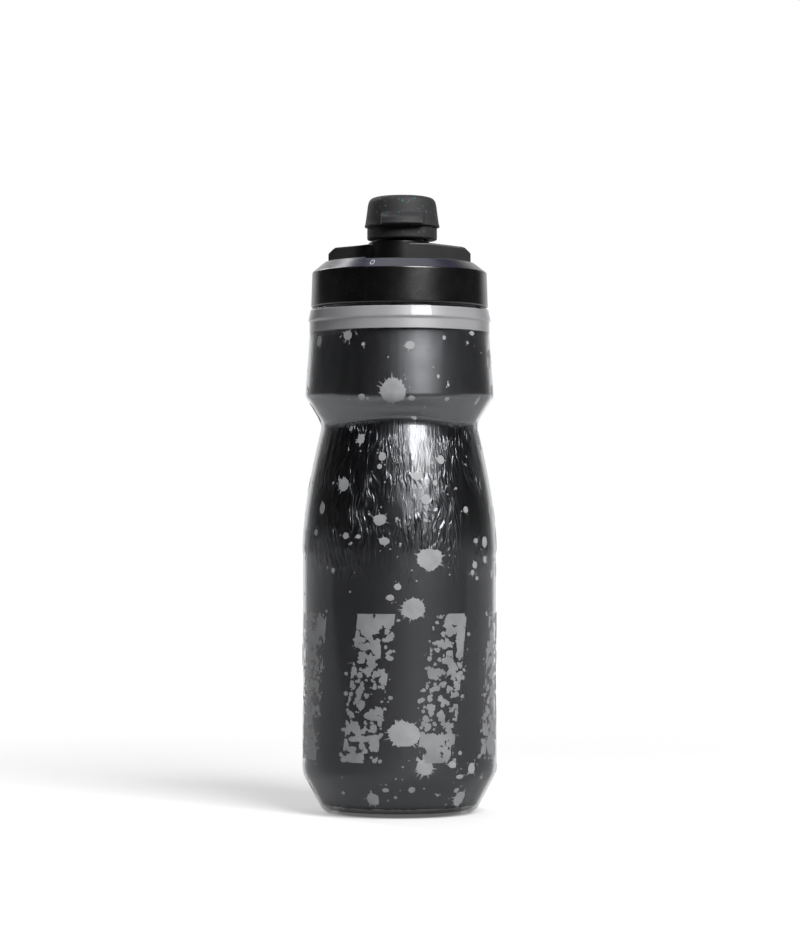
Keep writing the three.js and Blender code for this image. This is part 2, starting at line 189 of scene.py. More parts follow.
# ---- Small tools for materials ----
class Tree:
    """The nodes of one material or world. A node's input takes a number, a colour or an output."""

    def __init__(self, owner):
        owner.use_nodes = True
        self.owner = owner
        self.nodes, self.links = owner.node_tree.nodes, owner.node_tree.links
        self.nodes.clear()

    def feed(self, socket, value):
        if isinstance(value, bpy.types.NodeSocket):
            self.links.new(value, socket)
        elif isinstance(value, tuple) and len(value) < len(socket.default_value):
            socket.default_value = (*value, 1.0)
        else:
            socket.default_value = value

    def node(self, kind, **values):
        """A node with its settings, and its inputs by name with _ for a space."""
        made = self.nodes.new("ShaderNode" + kind)
        for key, value in values.items():
            if hasattr(made, key):
                setattr(made, key, value)
            else:
                self.feed(made.inputs[key.replace("_", " ")], value)
        return made

    def wired(self, kind, *values, **settings):
        """The first output of a node whose first inputs take these values."""
        made = self.node(kind, **settings)
        for socket, value in zip(made.inputs, values):
            self.feed(socket, value)
        return made.outputs[0]

    def shader(self, **values):
        """A Principled shader on the output."""
        principled = self.node("BsdfPrincipled", **values)
        self.node("OutputMaterial", Surface=principled.outputs[0])

    def place(self, stretch=(1, 1, 1), uv=False, start=None):
        """Object coordinates, the piece's own map or another vector, scaled."""
        start = start or self.node("TexCoord").outputs["UV" if uv else "Object"]
        return self.wired("Mapping", start, vector_type="POINT", Scale=stretch)

    def split(self, vector, axis):
        return self.node("SeparateXYZ", Vector=vector).outputs[axis]

    def maths(self, operation, *values):
        return self.wired("Math", *values, operation=operation)

    def moved(self, where, by, amount):
        """where + by * amount, all vectors."""
        return self.wired("VectorMath", by, amount, where, operation="MULTIPLY_ADD")

    def noise(self, where, scale, detail=3.0, rough=0.55):
        return self.node("TexNoise", Vector=where, Scale=scale, Detail=detail,
                         Roughness=rough).outputs["Fac"]

    def ranged(self, value, low, high, to_low, to_high):
        """The value carried from one range to another and kept inside it."""
        return self.wired("MapRange", value, low, high, to_low, to_high)

    def eased(self, value, low, high, to_low=0.0, to_high=1.0):
        """As ranged, but it starts and ends softly."""
        return self.wired("MapRange", value, low, high, to_low, to_high,
                          interpolation_type="SMOOTHSTEP")

    def mixed(self, factor, a, b):
        """A colour between a and b."""
        made = self.node("Mix", data_type="RGBA", Factor=factor)
        self.feed(made.inputs[6], a)
        self.feed(made.inputs[7], b)
        return made.outputs[2]

    def bump(self, height, strength, distance, after=None):
        """A normal bent by a height, on top of another one."""
        made = self.node("Bump", Strength=strength, Distance=distance, Height=height)
        if after is not None:
            self.feed(made.inputs["Normal"], after)
        return made.outputs[0]


def new_tree(name):
    return Tree(bpy.data.materials.new(name))


# ---- Materials ----
def clear_wall_material():
    """Clear blown plastic: it lets light straight through, tints where the eye grazes it, and
    mirrors by Fresnel on its outer side. Its foot is thicker, and its see-through tint there is
    darkened as painted shade, standing in for the shadow below the film seen through the foot."""
    tree = new_tree("clear_wall")
    grazing = tree.node("LayerWeight", Blend=0.5).outputs["Facing"]
    tint = tree.mixed(tree.eased(grazing, 0.45, 0.85), (0.95, 0.95, 0.955), (0.60, 0.605, 0.61))
    # painted shade: the see-through tint turns dark grey in the foot, below 2.2 to 4.2 mm, for the
    # shadow seen through it
    above_painted_foot_shade = tree.eased(tree.split(tree.place(), "Z"), 0.0022, 0.0042)
    tint = tree.mixed(above_painted_foot_shade, (0.50, 0.50, 0.50), tint)
    ripple = tree.noise(tree.place((1, 1, 0.35)), 55.0, 2.0)
    mirror = tree.node("BsdfGlossy", Roughness=0.06, Color=(1, 1, 1),
                       Normal=tree.bump(ripple, 0.10, 0.0006))
    front = tree.maths("SUBTRACT", 1.0, tree.node("NewGeometry").outputs["Backfacing"])
    mirrored = tree.maths("MULTIPLY", tree.node("Fresnel", IOR=1.21).outputs[0], front)
    through = tree.node("BsdfTransparent", Color=tint).outputs[0]
    tree.node("OutputMaterial",
              Surface=tree.wired("MixShader", mirrored, through, mirror.outputs[0]))
    return tree.owner


def crinkled_film_material():
    """Dark metallised film: fine upright creases, tighter near the grip, that catch light in
    threads, and a duller lower part."""
    tree = new_tree("crinkled_film")
    where = tree.place(uv=True)
    up = tree.split(where, "Y")
    sway = tree.noise(tree.place((70, 40, 1), uv=True), 1.0, 2.0)
    bent = tree.moved(where, tree.node("CombineXYZ", X=sway).outputs[0], (0.012, 0, 0))
    patches = tree.noise(tree.place((60, 60, 1), uv=True), 1.0, 2.0)
    near_grip = tree.eased(up, 0.080, 0.106)
    amount = tree.maths("MULTIPLY", near_grip, tree.eased(patches, 0.40, 0.64, 0.10, 1.0))

    def creases(across, along, thin):
        field = tree.noise(tree.place((across, along, 1), start=bent), 1.0, 2.0, 0.5)
        away = tree.maths("ABSOLUTE", tree.maths("SUBTRACT", field, 0.5))
        return tree.maths("MULTIPLY", tree.eased(away, 0.0, thin, 1.0, 0.0), amount)

    coarse = tree.bump(creases(310, 64, 0.09), 1.0, 0.00030)
    tree.shader(Metallic=1.0, Normal=tree.bump(creases(800, 130, 0.12), 1.0, 0.00008, coarse),
                Base_Color=tree.mixed(near_grip, (0.058, 0.059, 0.061), (0.088, 0.090, 0.093)),
                Roughness=tree.eased(up, 0.080, 0.110, 0.50, 0.33))
    return tree.owner


def band_film_material():
    """The same film where it is printed and stretched smooth round the shoulder: satin, fine
    grain."""
    tree = new_tree("band_film")
    grain = tree.noise(tree.place(), 2600.0, 2.0)
    draw = tree.noise(tree.place((260, 60, 1), uv=True), 1.0)
    tree.shader(Metallic=1.0, Roughness=tree.ranged(draw, 0.3, 0.7, 0.36, 0.40),
                Base_Color=tree.mixed(draw, (0.108, 0.110, 0.113), (0.128, 0.130, 0.134)),
                Normal=tree.bump(grain, 0.12, 0.0001, tree.bump(draw, 0.12, 0.0004)))
    return tree.owner


def plain_material(name, ior, low, high, rough, cloud, fine, bump, contrast=None):
    """Clouds of noise move the colour between low and high and the roughness between two values,
    and fine noise roughens the skin. cloud and fine are (scale, detail), bump (strength,
    distance)."""
    tree = new_tree(name)
    clouds = tree.noise(tree.place(), *cloud)
    share = tree.ranged(clouds, *contrast, 0.0, 1.0) if contrast else clouds
    tree.shader(IOR=ior, Base_Color=tree.mixed(share, low, high),
                Roughness=tree.ranged(clouds, 0.3, 0.7, *rough),
                Normal=tree.bump(tree.noise(tree.place(), *fine), *bump))
    return tree.owner


def ink_material(name, low, high):
    """Grey screen ink, a little uneven, with a dull sheen."""
    return plain_material(name, 1.45, low, high, (0.42, 0.55), (130.0, 4.0), (1500.0, 2.0),
                          (0.15, 0.00008), contrast=(0.35, 0.65))


def moulded_material(name, low, high, rough, grain=2200.0, bump=0.08, ior=1.5):
    """Moulded plastic: nearly even colour, fine grain in its gloss."""
    return plain_material(name, ior, low, high, (rough - 0.03, rough + 0.03), (120.0, 3.0),
                          (grain, 2.0), (bump, 0.00006))


def speckled_material():
    """Charcoal rubber with recycled flecks, some teal and some copper, in a matte pebbled skin."""
    tree = new_tree("speckled_rubber")
    where = tree.place()
    warp = tree.node("TexNoise", Vector=where, Scale=900.0, Detail=2.0).outputs["Color"]
    bent = tree.moved(where, warp, (0.0008, 0.0008, 0.0008))
    base = tree.mixed(tree.noise(where, 160.0), (0.0075, 0.0075, 0.0078), (0.011, 0.011, 0.0115))
    for scale, size, share, colour in (
        (660.0, 0.23, 0.24, (0.005, 0.070, 0.085)),
        (820.0, 0.21, 0.30, (0.125, 0.062, 0.026)),
        (940.0, 0.20, 0.10, (0.045, 0.048, 0.052)),
    ):
        cells = tree.node("TexVoronoi", feature="F1", Vector=bent, Scale=scale, Randomness=1.0)
        near = tree.maths("LESS_THAN", cells.outputs["Distance"], size)
        lot = tree.node("SeparateColor", Color=cells.outputs["Color"]).outputs
        here = tree.maths("MULTIPLY", near, tree.maths("LESS_THAN", lot[0], share))
        faint = tree.ranged(lot[1], 0.0, 1.0, 0.25, 1.0)
        base = tree.mixed(tree.maths("MULTIPLY", here, faint), base, colour)
    pebbles = tree.noise(where, 3200.0, 2.0)
    tree.shader(IOR=1.38, Base_Color=base, Roughness=0.68, Normal=tree.bump(pebbles, 0.3, 0.00012))
    return tree.owner


def foam_material():
    """Closed-cell foam: pale, matte, with small cells."""
    tree = new_tree("foam")
    cells = tree.node("TexVoronoi", feature="F1", Vector=tree.place(), Scale=900.0)
    cells = cells.outputs["Distance"]
    tree.shader(Roughness=0.9, Base_Color=tree.mixed(cells, (0.5, 0.5, 0.5), (0.62, 0.62, 0.63)),
                Normal=tree.bump(cells, 0.3, 0.0003))
    return tree.owner


CLEAR = clear_wall_material()
FILM = crinkled_film_material()
BAND = band_film_material()
INK = ink_material("splash_ink", (0.135, 0.137, 0.14), (0.18, 0.182, 0.185))
BLOCK_INK = ink_material("block_ink", (0.105, 0.107, 0.11), (0.135, 0.137, 0.14))
MILKY = plain_material("milky_plastic", 1.68, (0.17, 0.17, 0.174), (0.20, 0.20, 0.204),
                       (0.36, 0.48), (90.0, 3.0), (800.0, 3.0), (0.08, 0.0001))
LID_GLOSS = moulded_material("lid_gloss", (0.0008, 0.0008, 0.001), (0.0014, 0.0014, 0.0016), 0.26,
                             ior=1.56)
DIAL_SATIN = moulded_material("dial_satin", (0.0018, 0.0018, 0.0018), (0.003, 0.003, 0.003), 0.34,
                              1400.0, 0.15, ior=1.37)
CLIP_PLASTIC = moulded_material("clip_plastic", (0.38, 0.38, 0.39), (0.45, 0.45, 0.46), 0.45)
MARK_PAINT = moulded_material("mark_paint", (0.20, 0.20, 0.23), (0.26, 0.26, 0.29), 0.45)
SPECKLED = speckled_material()
FOAM = foam_material()
SILICONE = plain_material("silicone", 1.42, (0.30, 0.32, 0.335), (0.40, 0.42, 0.435), (0.38, 0.5),
                          (200.0, 3.0), (1500.0, 3.0), (0.1, 0.0001))


# ---- The bottle's wall as a function of angle and height ----
def cubic(p0, p1, p2, p3, count):
    """The curve (1-t)^3 p0 + 3t(1-t)^2 p1 + 3t^2(1-t) p2 + t^3 p3."""
    t = np.linspace(0, 1, count)[:, None]
    p0, p1, p2, p3 = (np.array(p, float) for p in (p0, p1, p2, p3))
    return ((1 - t) ** 3 * p0 + 3 * t * (1 - t) ** 2 * p1 + 3 * t**2 * (1 - t) * p2 + t**3 * p3)


def quadratic(p0, p1, p2, count):
    """The curve (1-t)^2 p0 + 2t(1-t) p1 + t^2 p2."""
    t = np.linspace(0, 1, count)[:, None]
    p0, p1, p2 = (np.array(p, float) for p in (p0, p1, p2))
    return (1 - t) ** 2 * p0 + 2 * t * (1 - t) * p1 + t**2 * p2


def wall_line():
    """The outer surface from the heel's foot to the rim of the shell, as (r, z) rows."""
    foot = soft_corners([(29.9, 2.1), (36.92, 15.4, 2.6), (37.0, 20.0), (37.0, 100.0)], closed=False)
    draw = cubic((37, 100), (37, 113), (33.4, 132.2), (30.05, 145.2), 60)
    grip = quadratic((30.05, 145.2), (29.4, 147.7), (30.7, 149.8), 14)
    band = soft_corners(
        [(30.7, 149.8), (35.95, 158.35, 1.3), (35.68, 162.7, 1.5), (35.4, 166.2, 1.5),
         (35.0, 171.9, 1.5), (34.62, 177.0, 1.5), (34.4, 181.0, 1), (34.4, 186.55, 0.25),
         (34.88, 187.05, 0.22), (34.08, 191.1, 0.35), (33.9, 191.4)], closed=False)
    return np.vstack([foot, draw[1:], grip[1:], band[1:]])


WALL = wall_line()


def wall_radius(z):
    """Radius of the outer surface at a height, read off WALL."""
    return np.interp(z, WALL[:, 1], WALL[:, 0])


def hat(z, low, middle, high):
    """A smooth bump: 0 at low and high, 1 at middle, by half a cosine each side."""
    rise = np.clip(np.where(z < middle, (z - low) / (middle - low), (high - z) / (high - middle)),
                   0, 1)
    return 0.5 - 0.5 * np.cos(math.pi * rise)


def arch(angle, z):
    """How far the grip's arch at the front and at the back moves a point up."""
    off = np.abs(np.arctan2(np.abs(np.sin(angle)), np.abs(np.cos(angle))))
    share = np.where(off < ARCH_HALF_ANGLE, np.cos(off / ARCH_HALF_ANGLE * math.pi / 2) ** 2, 0.0)
    rise = ARCH_RISE * share * hat(z, 134, GRIP_Z, 153)
    return rise - ARCH_DROP * np.cos(off) ** 1.2 * hat(z, 152, SHOULDER_Z, 172)


def on_wall(angle, z, inward):
    """The point on the wall at an angle and a height, moved in towards the axis."""
    r = wall_radius(z) - inward
    return np.stack([r * np.sin(angle), -r * np.cos(angle), z + arch(angle, z)], axis=-1)


def wall_grid(heights, count, inward):
    angle, z = np.meshgrid(around(count), heights, indexing="ij")
    return on_wall(angle, z, inward)


def heights_between(low, high, step):
    """The wall's own heights between two levels, with more so that no stretch is over step."""
    own = WALL[(WALL[:, 1] > low + 0.01) & (WALL[:, 1] < high - 0.01), 1]
    line = np.concatenate([[low], own, [high]])
    return resampled(np.stack([line, line * 0], 1), step)[:, 0]


def wrap_map(rows, low, radius):
    """The map's spots: distance round the wall and height, in metres."""
    def spots_to_uv(spots):
        turn = spots[..., 0] / rows * TAU * radius * MM
        return np.stack([turn, low[np.minimum(spots[..., 1], len(low) - 1)] * MM], -1)
    return spots_to_uv


def make_outer_wall():
    sectors = 192
    angles = around(sectors)
    foot = soft_corners([(0.0, 2.6), (18.8, 2.2, 2.0), (22.6, 0.0, 1.0), (27.6, 0.0, 1.4),
                         (29.9, 2.1)], closed=False, steps=7)[:-1]
    low = turned_about(resampled(foot, 4.0), angles)
    outer = wall_grid(heights_between(2.1, SHELL_TOP, 2.5), sectors, 0.0)
    inner_z = heights_between(3.3, BAND_TOP, 3.5)[::-1]
    thickness = np.interp(inner_z, [150, 176, 183], [WALL_THICKNESS, WALL_THICKNESS, 0.55])
    angle, z = np.meshgrid(angles, inner_z, indexing="ij")
    inner = on_wall(angle, z, thickness[None])
    lip = turned_about(np.array([(33.85, 191.4), (33.55, 191.3), (33.55, 187.6), (33.85, 186.4)]),
                       angles)
    floor = turned_about(soft_corners([(29.2, 3.2), (27.0, 1.5, 1.0), (23.0, 1.5, 0.8),
                                       (19.2, 3.6, 2.0), (0.0, 4.0)], closed=False)[1:], angles)
    points = np.concatenate([low, outer, lip, inner, floor], axis=1)
    return piece("clear_outer_wall", [(points, True, False)], CLEAR, "bottle",
                 ("outer_shell",), sharp=60)


# ---- Film, foam and inner bottle ----
def value_noise(rng, u, v, across, along):
    """Smooth noise: random values on a lattice, periodic in u, joined by smoothstep weights."""
    lattice = rng.random((across, along + 2))
    x, y = (u % 1.0) * across, np.clip(v, 0, 1) * along
    i, j = np.floor(x).astype(int), np.floor(y).astype(int)
    fx, fy = x - i, y - j
    fx, fy = fx * fx * (3 - 2 * fx), fy * fy * (3 - 2 * fy)
    i, i2 = i % across, (i + 1) % across
    low = lattice[i, j] * (1 - fx) + lattice[i2, j] * fx
    high = lattice[i, j + 1] * (1 - fx) + lattice[i2, j + 1] * fx
    return low * (1 - fy) + high * fy


def film_creases(angle, z, seed):
    """How deep the film is creased, in mm: ridges 1 - sqrt((2n - 1)^2 + 0.02) of stretched noise
    n, worn down in patches, deeper towards the grip."""
    rng = np.random.default_rng(seed)
    u, v = angle / TAU + 0.5, z / 190.0
    sway = value_noise(rng, u, v, 24, 14) * 0.012 + value_noise(rng, u, v, 60, 40) * 0.004
    total = 0
    for across, along, depth in ((64, 20, 0.22), (34, 14, 0.24)):
        field = value_noise(rng, u + sway, v, across, along)
        total = total + depth * (1 - np.sqrt((2 * field - 1) ** 2 + 0.02))
    patch = value_noise(rng, u, v, 12, 12)
    weight = 0.35 + 0.65 * np.clip((patch - 0.3) / 0.4, 0, 1)
    near_grip = 0.12 + 0.88 * hat(np.minimum(z, 116), 84, 116, 117)
    return total * weight * near_grip


def make_film(name, low, high, step, sectors, crease, seed, material, replaces, ragged=0.0):
    """A thin closed sleeve that follows the wall, creased inwards, its foot cut unevenly."""
    heights = heights_between(low, high, step)
    angle, z = np.meshgrid(around(sectors), heights, indexing="ij")
    rng = np.random.default_rng(seed + 7)
    foot = ragged * (value_noise(rng, angle / TAU + 0.5, z * 0, 150, 1) - 0.5)
    fade = np.clip(1 - (z - low) / 4.0, 0, 1)
    ends = np.clip(np.minimum(z - low, high - z) / 3.0, 0, 1)
    depth = crease * film_creases(angle, z, seed) * ends
    outer = on_wall(angle, z + foot * fade, FILM_INWARD + depth)
    inner_z = np.linspace(high, low, 24)
    angle2, z2 = np.meshgrid(around(sectors), inner_z, indexing="ij")
    inner = on_wall(angle2, z2, FILM_INWARD + 1.0)
    points = np.concatenate([outer, inner], axis=1)
    lows = np.concatenate([heights, inner_z, [low]])
    return piece(name, [(points, True, True)], material, "bottle", replaces,
                 sharp=70, wrap=wrap_map(sectors, lows, 35.0))


def make_neck_ring():
    """The milky ring round the neck, under the lid."""
    profile = soft_corners([(31.6, 182.5, 0.2), (34.26, 182.5, 0.2), (33.98, 186.3, 0.3),
                            (34.6, 187.1, 0.3), (33.95, 190.9, 0.3), (31.6, 191.0, 0.3)])
    return piece("neck_ring_milky", [(turned_about(profile, around(160)), True, True)], MILKY,
                 "bottle", ("neck_ring",))


def thread(root_r, crest_r, root_width, crest_width, start_angle, start_z, turns, steps=150):
    """A thread's ridge: a rounded bar swept along (r, angle, start_z + pitch * angle / turn)."""
    t = np.linspace(0, 1, steps)
    fade = np.clip(np.minimum(t, 1 - t) * 12, 0, 1)
    fade = 0.03 + 0.97 * fade * fade * (3 - 2 * fade)
    up = np.array([0, 0.7, 0.95, 1, 0.95, 0.7, 0])
    across = np.array([-1, -0.8, -0.62, 0, 0.62, 0.8, 1])
    half = (root_width + (crest_width - root_width) * up) / 2
    r = root_r + (crest_r - root_r) * up[None] * fade[:, None]
    z = start_z + THREAD_PITCH * turns * t[:, None] + (across * half)[None]
    a = start_angle + TAU * turns * t[:, None]
    points = np.stack([r * np.cos(a), r * np.sin(a), z + 0 * r], -1)
    inwards = crest_r < root_r
    ends = np.repeat(points.mean(axis=1, keepdims=True), points.shape[1], axis=1)
    points = np.concatenate([ends[:1], points, ends[-1:]], axis=0)
    return points[:, ::-1] if inwards else points


def make_inner_bottle():
    sectors = 160
    angles = around(sectors)
    outside = heights_between(7.4, 182.5, 4.0)
    inside = heights_between(8.6, 182.5, 4.0)[::-1]
    foot = turned_about(soft_corners([(0.0, 5.9), (25.8, 5.9, 1.0), (28.9, 7.2)],
                                     closed=False)[:-1], angles)
    neck = turned_about(soft_corners(
        [(30.9, 183.0), (30.9, 187.8, 0.6), (29.6, 189.1, 0.4), (29.6, 202.6, 0.7),
         (27.8, 202.6, 0.7), (27.8, 188.4, 1.0), (29.9, 186.4, 1.0), (29.9, 183.0)],
        closed=False), angles)
    floor = turned_about(soft_corners([(27.8, 8.5), (25.5, 6.9, 1.5), (0.0, 6.9)],
                                      closed=False)[1:], angles)
    points = np.concatenate([foot, wall_grid(outside, sectors, 3.5), neck,
                             wall_grid(inside, sectors, 4.5), floor], axis=1)
    ridge = thread(29.45, 30.8, 2.2, 1.0, 0.0, 194.2, THREAD_TURNS)
    return piece("milky_inner_bottle", [(points, True, False), (ridge, False, True)], MILKY,
                 "bottle", ("inner_bottle",), sharp=40)


def make_base_pad():
    profile = soft_corners([(0, 4.3), (18.6, 4.3, 0.4), (18.6, 5.6, 0.4), (0, 5.6)], closed=False)
    return piece("foam_base_pad", [(turned_about(profile, around(96)), True, False)], FOAM,
                 "bottle", ("base_pad",))


# ---- The print ----
PRINT_R = 36.0  # distances round the print are taken at this radius


def blot(u, v, outline, flat=1.0, inks=None, lift=0.05, rings=(0.72, 0.4)):
    """One closed drop of ink on the wall. outline is (angles, radii) about the middle (u, v), in
    mm on the unrolled wall. Columns run from the middle of its underside out to the edge, up,
    and back in. inks is a function that keeps (u, v) inside some border."""
    phi, edge = outline
    shares = np.array([0.0, 1.0, 1.0, *rings, 0.0])
    lifts = np.array([-0.02, -0.02, lift] + [lift + 0.01] * (len(rings) + 1))
    du = shares[None] * (edge * np.cos(phi))[:, None]
    dv = shares[None] * (edge * np.sin(phi))[:, None] * flat
    u_all, v_all = u + du, v + dv
    if inks is not None:
        u_all, v_all = inks(u_all, v_all)
    return on_wall(u_all / PRINT_R, np.clip(v_all, 3.0, 182.5), -lifts[None]), True, False


def wobbly_edge(rng, radius, count, wobble=0.07, teeth=0, rays=0, ray_long=0.7):
    """An outline R(phi): a circle with a few random waves and short teeth, and thin straight
    rays, each a point at the ray's end between two points at its root."""
    phi = np.arange(count) / count * TAU
    edge = np.full(count, radius, float)
    for waves in (2, 3, 5, 8):
        edge = edge + radius * wobble / math.sqrt(waves) * rng.random() * np.cos(
            waves * phi + rng.random() * TAU)
    for _ in range(teeth):
        off = (phi - rng.random() * TAU + math.pi) % TAU - math.pi
        edge = edge + radius * (0.04 + 0.11 * rng.random()) * np.exp(
            -((off / (0.05 + 0.05 * rng.random())) ** 2))
    for _ in range(rays):
        at, root = rng.random() * TAU, (0.17 + 0.13 * rng.random()) / radius
        long = radius * (1.08 + ray_long * (0.15 + 0.85 * rng.random()))
        near = np.abs((phi - at + math.pi) % TAU - math.pi) > root * 1.1
        here = np.interp(at, phi, edge)
        phi = np.concatenate([phi[near], [at - root, at, at + root]]) % TAU
        edge = np.concatenate([edge[near], [here, long, here]])
        order = np.argsort(phi)
        phi, edge = phi[order], edge[order]
    return phi, edge


def splash(rng, angle, height, radius, rays=None, flat=1.0):
    """A large or small splash with its drops, at an angle in degrees."""
    u = math.radians(angle) * PRINT_R
    count = 14 if radius < 0.6 else 22 if radius < 1.1 else 48 if radius < 2.2 else 110
    teeth = 0 if radius < 1.1 else 6 if radius < 2.2 else 24
    if rays is None:
        rays = 0 if radius < 1.1 else int(rng.integers(0, 5))
    turned = wobbly_edge(rng, radius, count, 0.055, teeth, rays, 0.8 if radius < 3 else 0.5)
    parts = [blot(u, height, turned, flat, lift=0.05 + 0.02 * rng.random(),
                  rings=(0.85, 0.55, 0.25) if radius > 2.2 else (0.6,))]
    for _ in range(int(rng.integers(0, 3 if radius < 1.5 else 6))):
        at, away = rng.random() * TAU, radius * (1.35 + 0.9 * rng.random())
        size = 0.14 + 0.22 * rng.random()
        parts.append(blot(u + away * math.cos(at), height + away * math.sin(at),
                          wobbly_edge(rng, size, 10), rings=(0.5,)))
    return parts


def scattered(rng, count, angles, low, high, sizes, power=3.0):
    """Splashes between two angles and two heights, most of them small."""
    parts = []
    for _ in range(count):
        angle = angles[0] + (angles[1] - angles[0]) * rng.random()
        radius = sizes[0] + (sizes[1] - sizes[0]) * rng.random() ** power
        parts += splash(rng, angle, low + (high - low) * rng.random(), radius,
                        flat=0.85 + 0.4 * rng.random())
    return parts


def slanted_bar(rng, middle, low, high, width, lean):
    """A slanted bar made of blots that stop at its straight borders, with some smaller ones that
    spill past its sides. It is fuller at the bottom and at the top."""
    centre = (low + high) / 2

    def within(u, v):
        v = np.clip(v, low, high)
        axis = middle + lean * (v - centre)
        return np.clip(u, axis - width / 2, axis + width / 2), v

    parts = []
    for k in range(216):
        v = low + (high - low) * rng.random()
        end = abs(v - centre) / (high - centre)
        size = 0.30 + (1.25 + 1.25 * end**2) * rng.random() ** 1.6
        u = middle + lean * (v - centre) + (rng.random() - 0.5) * (width + 0.6)
        count = 11 if size < 0.7 else 17 if size < 1.4 else 25
        parts.append(blot(u, v, wobbly_edge(rng, size, count, 0.42), 0.7 + 0.6 * rng.random(),
                          within, 0.05 + 0.0002 * k, rings=(0.55,)))
    for _ in range(42):
        v = low - 1.5 + (high - low + 3) * rng.random()
        side = 1 if rng.random() < 0.5 else -1
        u = middle + lean * (v - centre) + side * (width / 2 + 2.4 * rng.random() ** 2 - 0.2)
        parts.append(blot(u, v, wobbly_edge(rng, 0.16 + 0.8 * rng.random() ** 2, 12, 0.2),
                          rings=(0.5,)))
    return parts


def make_splash_print():
    """Paint splashes over the whole wall: those at the front placed, the rest scattered."""
    rng = np.random.default_rng(11)
    parts = []
    for angle, height, radius, rays, flat in (
        (-4, 160.0, 4.5, 9, 0.95), (17.6, 96.6, 4.5, 12, 0.85), (8.1, 78.2, 4.0, 16, 0.9),
        (2.8, 32.0, 5.4, 8, 0.84), (14.6, 19.8, 2.9, 17, 1.0), (-37, 124.3, 2.2, 14, 1.1),
        (-27.5, 141.1, 1.7, 12, 1.0), (-11.5, 111.2, 2.3, 4, 0.85), (-8.7, 103.3, 1.9, 3, 0.75),
        (-11.3, 134.7, 1.5, 4, 1.0), (28, 133.6, 1.6, 2, 1.0), (16, 118.7, 1.8, 2, 1.0),
        (11, 127.4, 2.3, 1, 0.62), (43.5, 115, 1.2, 0, 1.0), (6.5, 176, 1.8, 4, 0.85),
        (-34, 180, 1.9, 4, 0.9), (28.8, 179, 0.8, 0, 1.0), (52, 181.2, 1.4, 3, 0.6),
        (-61, 178.5, 1.8, 0, 1.1), (-22.8, 176.5, 0.75, 0, 1.0), (-23, 158.2, 1.3, 3, 0.9),
        (-19.5, 157.6, 0.6, 0, 1.0), (7.4, 157.6, 1.3, 1, 0.8), (30, 157.2, 0.95, 0, 1.0),
        (57, 156.2, 1.1, 0, 1.4), (11, 148.2, 0.8, 0, 1.0), (9.2, 148.4, 0.6, 0, 1.0),
        (-37, 145.2, 0.9, 0, 1.1), (-12.8, 131.0, 1.0, 0, 1.0), (20, 140.4, 0.8, 0, 1.0),
        (22.6, 124.9, 1.0, 0, 1.0), (17.5, 125.6, 0.7, 0, 1.0), (-46, 125, 0.5, 0, 1.0),
        (-54, 115.6, 1.6, 2, 1.3), (15.8, 111.0, 0.7, 0, 1.0), (-1.5, 111.6, 0.6, 0, 1.0),
        (-58.5, 106.5, 1.1, 0, 1.1), (-32.8, 105.3, 1.2, 1, 1.0), (-24.5, 105.0, 1.0, 1, 0.8),
        (-29, 102.6, 0.5, 0, 1.0), (50.5, 103.4, 1.2, 1, 0.8), (60, 103.0, 1.8, 2, 1.1),
        (-42, 92.4, 0.8, 0, 1.2), (-1, 86.4, 1.3, 1, 0.9), (-5.3, 82.4, 1.4, 1, 0.8),
        (49.5, 94.4, 1.3, 2, 1.0), (47.5, 91.6, 1.0, 1, 1.0), (51.5, 89.4, 0.9, 0, 0.9),
        (60, 96.3, 1.2, 0, 1.1), (62, 76.0, 0.7, 0, 1.2), (29.9, 61.8, 1.3, 0, 0.7),
        (32, 20.4, 1.6, 3, 0.75), (46.5, 18.6, 1.7, 4, 1.2), (37.5, 15.8, 1.6, 3, 0.5),
        (37.5, 24.6, 0.8, 0, 1.0), (-17.5, 7.6, 2.4, 7, 0.9), (-8.5, 11.2, 1.3, 0, 0.6),
        (7.5, 11.3, 1.3, 0, 0.85), (43, 7.2, 2.5, 7, 1.1), (38, 10.6, 1.2, 0, 0.7),
        (-2.5, 8.4, 0.7, 0, 0.8), (25, 9.0, 0.5, 0, 1.0), (-38, 9.6, 0.6, 0, 1.0),
    ):
        parts += splash(rng, angle, height, radius, rays, flat)
    parts += scattered(rng, 46, (-62, 62), 84, 181, (0.12, 0.7))
    parts += scattered(rng, 16, (-62, 62), 5, 20, (0.12, 0.6))
    parts += scattered(rng, 95, (66, 294), 82, 181, (0.2, 2.3))
    parts += scattered(rng, 16, (72, 288), 84, 178, (2.3, 4.6), 1.0)
    parts += scattered(rng, 40, (66, 294), 5, 20, (0.25, 2.4))
    parts += scattered(rng, 9, (80, 280), 24, 70, (2.0, 4.6), 1.0)
    return piece("splash_print", parts, INK, "bottle", sharp=50)


def make_block_print():
    """Eight slanted bars round the lower body."""
    rng = np.random.default_rng(29)
    parts = []
    for k in range(8):
        parts += slanted_bar(rng, -11.8 + TAU * PRINT_R / 8 * k, 21.2, 76.4, 14.0, 0.12)
    return piece("block_print", parts, BLOCK_INK, "bottle", sharp=50)


# ---- The lid ----
RIM_STEP_X = 12.6  # the raised rim ends on a plane across the lid, this far from the middle
RIM_STEP_R = 31.0
RIM_STEP_FRONT = -math.asin(RIM_STEP_X / RIM_STEP_R)
RIM_STEP_SIDE = math.radians(-82.0)


